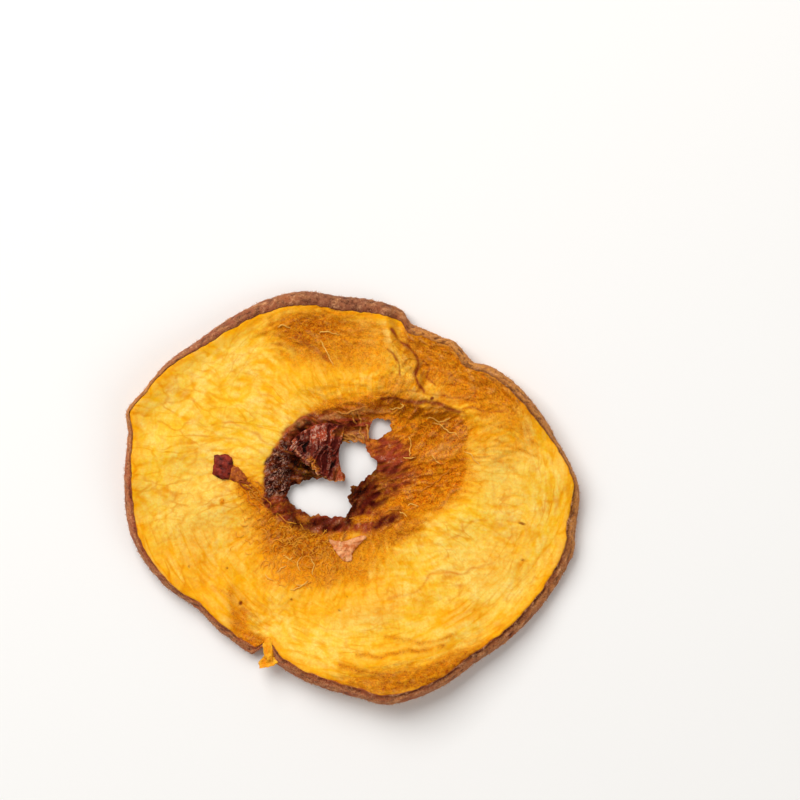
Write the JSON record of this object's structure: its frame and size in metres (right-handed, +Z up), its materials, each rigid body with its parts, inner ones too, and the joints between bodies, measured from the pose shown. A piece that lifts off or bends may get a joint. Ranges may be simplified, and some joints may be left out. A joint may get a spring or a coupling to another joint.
{
  "type": "dried peach slice",
  "caption": "Round slice of dried peach: wrinkled yellow flesh, a brown skin edge, and a dark hollow in the middle where the stone was, torn through its thin floor.",
  "frame": {"origin": "under the middle of the slice, on the surface that it lies on", "axes": "+X to the right across the slice's longest width, +Y towards its top edge as seen in the picture, +Z up, out of the side that shows the hollow"},
  "size_m": [0.0573, 0.0519, 0.0058],
  "materials": {
    "flesh": "dried peach flesh, leathery, finely wrinkled and slightly glossy",
    "skin": "dried peach skin, brown-red and matt, with short pale fuzz",
    "lining": "dried lining of the stone's hollow, dark purple-red, rough and fibrous",
    "fibre": "dry fruit fibres, pale and thin"
  },
  "bodies": {
    "root": {"peach_slice": "flesh"}
  },
  "joints": []
}
